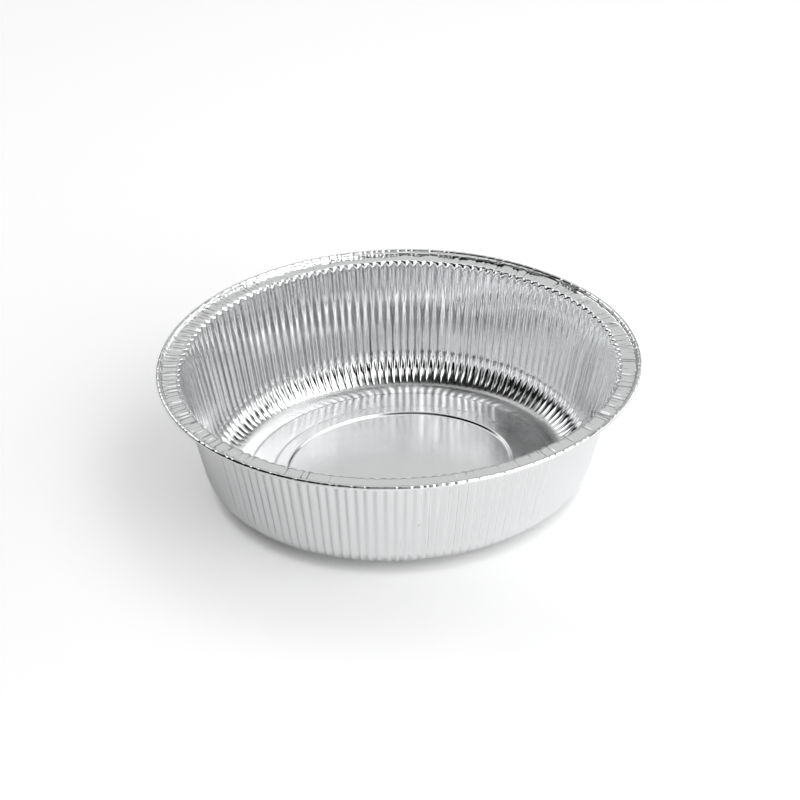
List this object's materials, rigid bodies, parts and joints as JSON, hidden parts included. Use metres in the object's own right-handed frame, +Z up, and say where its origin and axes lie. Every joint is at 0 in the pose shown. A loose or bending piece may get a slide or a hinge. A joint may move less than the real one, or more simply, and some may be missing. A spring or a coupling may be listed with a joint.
{
  "type": "foil oval tray",
  "caption": "Deep oval food tray pressed from aluminium foil, with fluted walls, a rounded lower edge, a stepped floor and a flat flange ending in a rolled bead.",
  "frame": {"origin": "middle of the tray in plan, on the surface it stands on", "axes": "+Z up, +X along the long axis of the oval, +Y across it"},
  "size_m": [0.21, 0.1828, 0.062],
  "materials": {
    "foil": "bright"
  },
  "bodies": {
    "root": {"foil_tray": "foil"}
  },
  "joints": []
}
